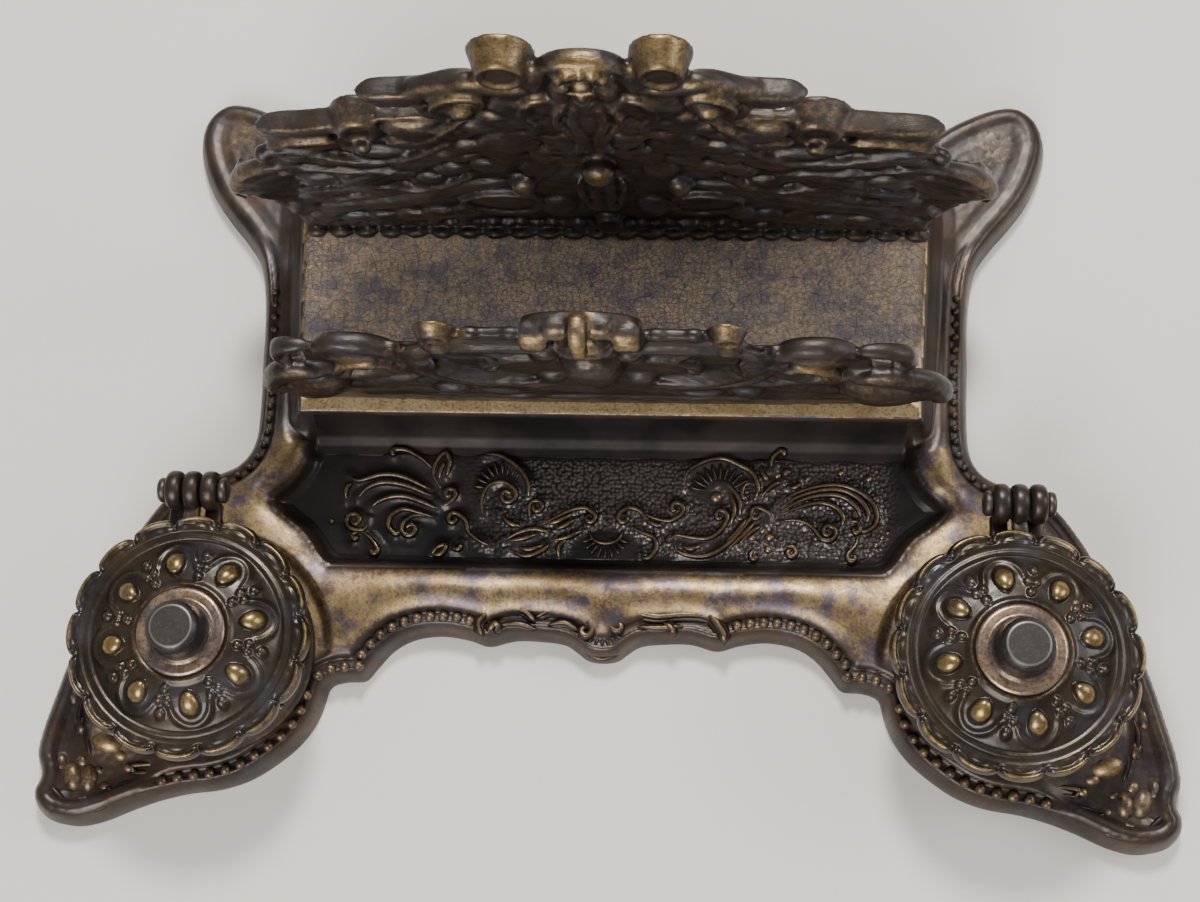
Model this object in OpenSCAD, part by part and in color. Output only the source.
// Bronze desk inkstand: cast stand with a pen tray, two letter racks and two
// inkwells with hinged lids. Millimetres. X is the width, -Y the front, Z up.

/* [Stand] */
// thickness of the cast border
border_height = 9; // [8:0.5:10]
// height of the plinth floor under the racks
plinth_height = 16; // [15:0.5:18]
// metal left above the hollows underneath
skin = 3; // [2.5:0.1:3.5]
// height of the pen tray floor
tray_height = 5; // [4:0.5:6]
// height of the rounded band in front of the tray
band_height = 11; // [10:0.5:12]
// radius of the small beads on the borders
bead_radius = 1; // [0.8:0.1:1.2]

/* [Racks] */
// thickness of each pierced rack
rack_thickness = 4; // [3.5:0.1:5]
// thickness of the foot of each rack
rack_foot = 5; // [5:0.1:6]
// centre of the back rack from the middle of the stand
back_rack_y = 58; // [57.6:0.1:58.4]
// centre of the front rack from the middle of the stand
front_rack_y = 10.8; // [10.6:0.1:11.4]
// radius of the screws that hold the racks
screw_radius = 1.5; // [1.3:0.1:1.7]

/* [Wells] */
// distance of each well from the centre line
well_x = 97.2; // [96.8:0.1:97.6]
// well centre in front of the middle of the stand
well_y = -54.7; // [-55:0.1:-54.4]
// outside radius of the well drum
well_radius = 25; // [24.5:0.1:25.5]
// top of the well drum
well_top = 29.5; // [29.5:0.1:29.8]
// inside radius of the ink liner
liner_radius = 19; // [18:0.5:19.5]

/* [Lids] */
// outside radius of the scalloped lid
lid_radius = 29.3; // [29:0.1:29.5]
// thickness of the lid metal
lid_skin = 1.6; // [1.4:0.1:2]
// radius of the flat collar under the knob
collar_radius = 10.6; // [10:0.2:11]
// radius of the knob at its top
knob_radius = 5.6; // [5.2:0.1:6]
// height of the knob
knob_height = 7.5; // [7:0.5:9]

/* [Hinges] */
// distance of each hinge from the centre line
hinge_x = 98.8; // [98.6:0.1:99]
// hinge axis in front of the middle of the stand
hinge_y = -19.4; // [-19.6:0.1:-19.2]
// height of the hinge axis
hinge_z = 32; // [31.8:0.1:32.2]
// radius of the hinge knuckles
knuckle_radius = 4.8; // [4.6:0.1:5]
// width of each knuckle
knuckle_width = 4; // [3.8:0.1:4.2]
// radius of the hinge pin
pin_radius = 1.5; // [1.3:0.1:1.7]
// radial clearance of the lid knuckle on the pin
pin_clearance = 0.05; // [0.02:0.01:0.08]

/* [Output] */
// which sub-part to show

/* [Hidden] */
$fn = 64;
eps = 0.01;
pin_gap = 0.3;
lid_base = well_top + 0.05;
dome_top = lid_base + 7;
collar_top = dome_top + 1.4;
liner_floor = border_height + 5;
side_gap = knuckle_width / 2 + pin_gap;
head_radius = screw_radius + 1.3;
reach = side_gap + knuckle_width;
arm_base = well_top - 3;
arm_height = 2.6;
bronze = [0.20, 0.15, 0.10];
gold = [0.62, 0.47, 0.22];
dark = [0.12, 0.12, 0.13];
clear = [0.80, 0.86, 0.84, 0.5];

// ---------- helpers ----------

module both_sides() {
  children();
  mirror([1, 0, 0]) children();
}

// upright cylinder from z to z + h
module post(x, y, z, r, h) {
  translate([x, y, z]) cylinder(r = r, h = h);
}

// cylinder along X, from x to x + w
module roller(x, y, z, r, w) {
  translate([x, y, z]) rotate([0, 90, 0]) cylinder(r = r, h = w);
}

// cylinder along Y, centred on y
module boss(x, y, z, r, d) {
  translate([x, y + d / 2, z]) rotate([90, 0, 0]) cylinder(r = r, h = d);
}

// flat drawing of a rack stood up at y
module upright(y, d) {
  translate([0, y + d / 2, 0]) rotate([90, 0, 0]) linear_extrude(d) children();
}

// ---------- stand ----------

module toe_plan() {
  translate([98.3, -57]) circle(31.5);
  translate([127.6, -84.8]) circle(13.2);
  polygon([[104, -88], [124, -97.5], [140.6, -86], [139, -71], [134, -54],
           [126, -32], [112, -10], [96, -10], [84, -30], [76, -50]]);
}

module shoulder_plan() {
  difference() {
    polygon([[80, 8], [93, 8], [104, -7.4], [113, -10], [113, -34], [60, -34]]);
    translate([104, 4.6]) circle(12);
  }
}

module ear_plan() {
  polygon([[60, 62], [70, 74], [84, 88], [94, 94.5], [104, 96], [114.6, 88],
           [113.4, 79], [109.5, 69.5], [102.5, 60], [94.4, 50], [80, 40]]);
  translate([103, 86.2]) circle(11.8);
}

module arch_plan() {
  polygon([[0, -54.6], [4.6, -53.4], [8, -50.8], [13, -49.6], [22, -49.6],
           [29, -51.2], [34, -49.4], [41, -48.6], [48, -49.8], [53, -52.4],
           [57.4, -57.2], [60, -60.6], [68, -60.8], [76, -50], [76, 8], [0, 8]]);
}

module base_plan() {
  polygon([[-92.2, -4], [92.2, -4], [94, 66], [-94, 66]]);
  both_sides() {
    toe_plan();
    shoulder_plan();
    ear_plan();
    arch_plan();
  }
}

module tray_plan() {
  both_sides() {
    polygon([[0, 0], [76, 0], [77.4, -5], [80, -9.6], [85.6, -14.4], [85.6, -16.6],
             [81.4, -20.4], [77, -23.2], [74, -27], [70.4, -32.4], [0, -32.4]]);
  }
}

module plinth_plan(inset) {
  polygon([[-78.4 + inset, 6 + inset], [78.4 - inset, 6 + inset],
           [81.8 - inset, 62.8 - inset], [-81.8 + inset, 62.8 - inset]]);
}

module rail_plan() {
  polygon([[76, 4], [88, 4], [90, 62], [76, 62]]);
}

// hollow wall between the tray floor and the plinth, drawn across the stand
module cove() {
  translate([-77, 0, 0]) rotate([90, 0, 90]) linear_extrude(154)
    polygon([[-2, 1], [-2, tray_height], [1, tray_height], [3, tray_height + 1.4],
             [4.8, tray_height + 5], [5.6, plinth_height - 1], [6, plinth_height],
             [8, plinth_height], [8, 1]]);
}

// rounded bar laid along X, for the worn band in front of the tray
module band() {
  intersection() {
    translate([-62, -38.4, band_height - 7]) rotate([0, 90, 0]) cylinder(r = 7, h = 124);
    translate([-62, -46, 1]) cube([124, 20, 20]);
  }
}

module bead_row(x0, y0, x1, y1, n, z) {
  for (i = [0 : n - 1]) {
    translate([x0 + (x1 - x0) * i / (n - 1), y0 + (y1 - y0) * i / (n - 1), z])
      sphere(bead_radius, $fn = 12);
  }
}

module ear_relief() {
  difference() {
    post(100.8, 82.4, border_height - 3, 9.5, 4);
    post(100.8, 82.4, border_height - 4, 7, 6);
  }
  post(94.6, 66, border_height - 3, 6, 3.8);
}

module toe_relief() {
  translate([127.6, -84.8, border_height - 4]) sphere(9);
  translate([123.5, -77.5, border_height - 4]) sphere(5.6);
}

module underside_hollows() {
  translate([0, 0, -1]) linear_extrude(plinth_height - skin + 1) plinth_plan(3.4);
  both_sides() post(well_x, well_y, -1, 22, border_height - skin + 1);
  for (x = [-52, 52], y = [back_rack_y, front_rack_y]) {
    post(x, y, -1, head_radius + 0.4, plinth_height - skin + 1);
  }
}

module screw_holes() {
  for (x = [-52, 52], y = [back_rack_y, front_rack_y]) {
    post(x, y, 0, screw_radius, plinth_height + 4);
  }
  both_sides() post(well_x, well_y, 0, 3, border_height + 1);
}

module stand_solid() {
  linear_extrude(border_height) base_plan();
  linear_extrude(plinth_height) plinth_plan(0);
  cove();
  both_sides() {
    linear_extrude(border_height + 3.5) rail_plan();
    ear_relief();
    toe_relief();
  }
  band();
}

module stand() {
  color(bronze) difference() {
    stand_solid();
    difference() {
      translate([0, 0, tray_height]) linear_extrude(20) tray_plan();
      linear_extrude(plinth_height + 1) plinth_plan(0);
      cove();
    }
    underside_hollows();
    screw_holes();
    translate([-200, -200, -20]) cube([400, 400, 20]);
  }
  color(gold) both_sides() {
    bead_row(91, 8, 92.4, 50, 13, border_height);
    bead_row(36, -45, 43, -45.2, 3, border_height);
    bead_row(46.4, -46.2, 57, -54.4, 4, border_height);
  }
}

// ---------- racks ----------

module back_rack_outline() {
  both_sides() {
    polygon([[0, 0], [80, 0], [82, 14], [89, 22], [93.5, 34], [90, 42], [82, 40],
             [81, 46], [77, 54], [70, 57], [57, 57], [50, 66], [49, 76], [26, 78],
             [12, 86], [0, 88]]);
    translate([51.5, 58]) circle(6);
    translate([16.6, 84]) circle(6.6);
    translate([70, 51]) circle(7);
  }
  translate([0, 80]) circle(8.5);
}

module back_rack_piercings() {
  both_sides() {
    translate([39, 65]) circle(2.4);
    translate([27, 40]) circle(3.2);
    translate([58, 46]) circle(3);
    translate([10.5, 60]) circle(2.6);
    translate([62, 24]) circle(3);
  }
}

module back_rack() {
  color(bronze) difference() {
    union() {
      translate([0, 0, plinth_height])
        upright(back_rack_y, rack_thickness)
        difference() {
          back_rack_outline();
          back_rack_piercings();
        }
      translate([-80, back_rack_y - rack_foot / 2, plinth_height])
        cube([160, rack_foot, 6]);
      both_sides() {
        boss(16.6, back_rack_y, plinth_height + 84, 6.4, 9);
        boss(51.5, back_rack_y, plinth_height + 58, 5.8, 9);
        boss(70, back_rack_y, plinth_height + 51, 6.6, 8);
        boss(86, back_rack_y - 2, plinth_height + 34, 7, 9);
      }
      boss(0, back_rack_y - 1, plinth_height + 80, 7.5, 9);
      boss(0, back_rack_y, plinth_height + 38, 6, 7.4);
    }
    for (x = [-52, 52]) post(x, back_rack_y, 0, screw_radius, plinth_height + 5);
  }
}

module front_rack_outline() {
  both_sides() {
    polygon([[0, 0], [74, 0], [80, 6], [82, 16], [78, 26], [70, 30], [65, 38],
             [60, 43], [46, 44], [38, 46], [20, 48], [0, 50]]);
    translate([53, 32]) circle(12.4);
    translate([32, 48]) circle(4.4);
    translate([74, 14]) circle(9);
  }
  translate([0, 46]) circle(12);
}

module front_rack_piercings() {
  both_sides() {
    translate([22, 26]) circle(6);
    translate([51, 18]) circle(4);
    translate([37, 36]) circle(3);
    translate([9, 34]) circle(3.4);
  }
}

module front_rack() {
  color(bronze) difference() {
    union() {
      translate([0, 0, plinth_height])
        upright(front_rack_y, rack_thickness)
        difference() {
          front_rack_outline();
          front_rack_piercings();
        }
      translate([-74, front_rack_y - rack_foot / 2, plinth_height])
        cube([148, rack_foot, 6]);
      both_sides() {
        boss(53, front_rack_y, plinth_height + 34, 9, 8);
        boss(32, front_rack_y, plinth_height + 48, 4.3, 7);
        boss(74, front_rack_y - 1, plinth_height + 13, 7, 9);
      }
      boss(0, front_rack_y - 1, plinth_height + 46, 9, 8);
      boss(0, front_rack_y, plinth_height + 22, 5, 7.4);
    }
    for (x = [-52, 52]) post(x, front_rack_y, 0, screw_radius, plinth_height + 5);
  }
}

module rack_screw(x, y) {
  color(dark) {
    post(x, y, plinth_height - skin - 2.2, head_radius, 2.2);
    post(x, y, plinth_height - skin - 1, screw_radius, skin + 5);
  }
}

module back_rack_screw_left() { rack_screw(-52, back_rack_y); }
module back_rack_screw_right() { rack_screw(52, back_rack_y); }
module front_rack_screw_left() { rack_screw(-52, front_rack_y); }
module front_rack_screw_right() { rack_screw(52, front_rack_y); }

// ---------- wells, drawn on the right ----------

module well_cup() {
  color(bronze) translate([well_x, well_y, 0]) {
    rotate_extrude() polygon([
      [0, border_height], [28, border_height], [28, border_height + 2.4],
      [well_radius - 1.5, border_height + 5], [well_radius - 1.5, well_top - 6],
      [well_radius, well_top - 3.5], [well_radius, well_top],
      [liner_radius + 2.3, well_top], [liner_radius + 2.3, liner_floor - 3],
      [0, liner_floor - 3]]);
    translate([0, 0, border_height - skin - 4]) cylinder(r = 3, h = skin + 5);
  }
}

module well_nut() {
  color(dark) translate([well_x, well_y, border_height - skin - 3]) difference() {
    cylinder(r = 6, h = 3, $fn = 6);
    translate([0, 0, -1]) cylinder(r = 3, h = 5);
  }
}

module ink_liner() {
  color(clear) translate([well_x, well_y, 0]) rotate_extrude() polygon([
    [0, liner_floor - 3], [liner_radius + 1.6, liner_floor - 3],
    [liner_radius + 2, liner_floor - 1], [liner_radius + 2, well_top - 0.6],
    [liner_radius, well_top - 0.6], [liner_radius, liner_floor + 1],
    [liner_radius - 2, liner_floor], [0, liner_floor]]);
}

// ---------- hinges ----------

module bracket_cheek(x) {
  roller(x, hinge_y, hinge_z, knuckle_radius, knuckle_width);
  translate([x, well_y + well_radius - 6, arm_base])
    cube([knuckle_width, hinge_y - well_y - well_radius + 6, arm_height]);
}

module hinge_bracket() {
  color(bronze) difference() {
    union() {
      bracket_cheek(hinge_x + side_gap);
      bracket_cheek(hinge_x - side_gap - knuckle_width);
      translate([hinge_x - reach, well_y + well_radius - 6, arm_base])
        cube([2 * reach, 8, arm_height]);
    }
    roller(hinge_x - 20, hinge_y, hinge_z, pin_radius, 40);
    post(well_x, well_y, 0, well_radius, 60);
  }
}

module hinge_pin() {
  color(dark) {
    roller(hinge_x - reach, hinge_y, hinge_z, pin_radius, 2 * reach);
    roller(hinge_x + reach, hinge_y, hinge_z, 3, 2);
    roller(hinge_x - reach - 2, hinge_y, hinge_z, 3, 2);
  }
}

module lid_knuckle() {
  half = knuckle_width / 2;
  color(bronze) difference() {
    union() {
      roller(hinge_x - half, hinge_y, hinge_z, knuckle_radius, knuckle_width);
      translate([hinge_x - half, well_y + lid_radius - 2.6, lid_base + 0.6])
        cube([knuckle_width, hinge_y - well_y - lid_radius + 2.6, 3]);
    }
    roller(hinge_x - 20, hinge_y, hinge_z, pin_radius + pin_clearance, 40);
  }
}

// ---------- lids ----------

module lid_lobes() {
  for (i = [0 : 15]) {
    rotate([0, 0, i * 22.5 + 11.25]) translate([lid_radius - 4.2, 0, lid_base])
      cylinder(r = 4.2, h = 2.6);
  }
}

module lid_bosses() {
  for (i = [0 : 7]) {
    rotate([0, 0, i * 45 + 7]) translate([16, 0, dome_top - 3.2]) sphere(2.7);
  }
}

module lid() {
  color(bronze) translate([well_x, well_y, 0]) difference() {
    union() {
      rotate_extrude() polygon([
        [0, lid_base], [lid_radius - 3, lid_base], [lid_radius - 3, lid_base + 3.4],
        [lid_radius - 5.4, lid_base + 3.4], [lid_radius - 7, lid_base + 2.6],
        [20, lid_base + 3.4], [16, lid_base + 5.2], [collar_radius, dome_top],
        [0, dome_top]]);
      lid_lobes();
      lid_bosses();
    }
    rotate_extrude() polygon([
      [0, lid_base - 1], [18.6, lid_base - 1], [18.6, lid_base + 1.4],
      [15.4, lid_base + 5.2 - lid_skin], [collar_radius, dome_top - lid_skin],
      [0, dome_top - lid_skin]]);
    translate([0, 0, lid_base]) cylinder(r = 2, h = 20);
    translate([hinge_x - well_x - knuckle_width / 2, lid_radius - 2.6, lid_base - 1])
      cube([knuckle_width, 8, 8]);
  }
}

module lid_collar() {
  color(gold) translate([well_x, well_y, dome_top]) difference() {
    union() {
      cylinder(r = collar_radius, h = 0.8);
      cylinder(r = knob_radius + 1.6, h = 1.4);
    }
    translate([0, 0, -1]) cylinder(r = 2, h = 5);
  }
}

module knob() {
  color(dark) translate([well_x, well_y, collar_top]) {
    rotate_extrude() polygon([
      [0, 0], [knob_radius + 1.4, 0], [knob_radius + 1.4, 1], [knob_radius + 1, 1.8],
      [knob_radius, knob_height - 0.5], [knob_radius - 0.5, knob_height],
      [0, knob_height]]);
    translate([0, 0, -7]) cylinder(r = 2, h = 7.5);
  }
}

module knob_nut() {
  color(dark) translate([well_x, well_y, dome_top - lid_skin - 2.4]) difference() {
    cylinder(r = 4.2, h = 2.4, $fn = 6);
    translate([0, 0, -1]) cylinder(r = 2, h = 5);
  }
}

module left() { mirror([1, 0, 0]) children(); }
module left_well_cup() { left() well_cup(); }
module right_well_cup() { well_cup(); }
module left_well_nut() { left() well_nut(); }
module right_well_nut() { well_nut(); }
module left_ink_liner() { left() ink_liner(); }
module right_ink_liner() { ink_liner(); }
module left_hinge_bracket() { left() hinge_bracket(); }
module right_hinge_bracket() { hinge_bracket(); }
module left_hinge_pin() { left() hinge_pin(); }
module right_hinge_pin() { hinge_pin(); }
module left_lid() { left() lid(); }
module right_lid() { lid(); }
module left_lid_knuckle() { left() lid_knuckle(); }
module right_lid_knuckle() { lid_knuckle(); }
module left_lid_collar() { left() lid_collar(); }
module right_lid_collar() { lid_collar(); }
module left_knob() { left() knob(); }
module right_knob() { knob(); }
module left_knob_nut() { left() knob_nut(); }
module right_knob_nut() { knob_nut(); }

stand();
back_rack();
front_rack();
back_rack_screw_left();
back_rack_screw_right();
front_rack_screw_left();
front_rack_screw_right();
left_well_cup();
right_well_cup();
left_well_nut();
right_well_nut();
left_ink_liner();
right_ink_liner();
left_hinge_bracket();
right_hinge_bracket();
left_hinge_pin();
right_hinge_pin();
left_lid();
right_lid();
left_lid_knuckle();
right_lid_knuckle();
left_lid_collar();
right_lid_collar();
left_knob();
right_knob();
left_knob_nut();
right_knob_nut();
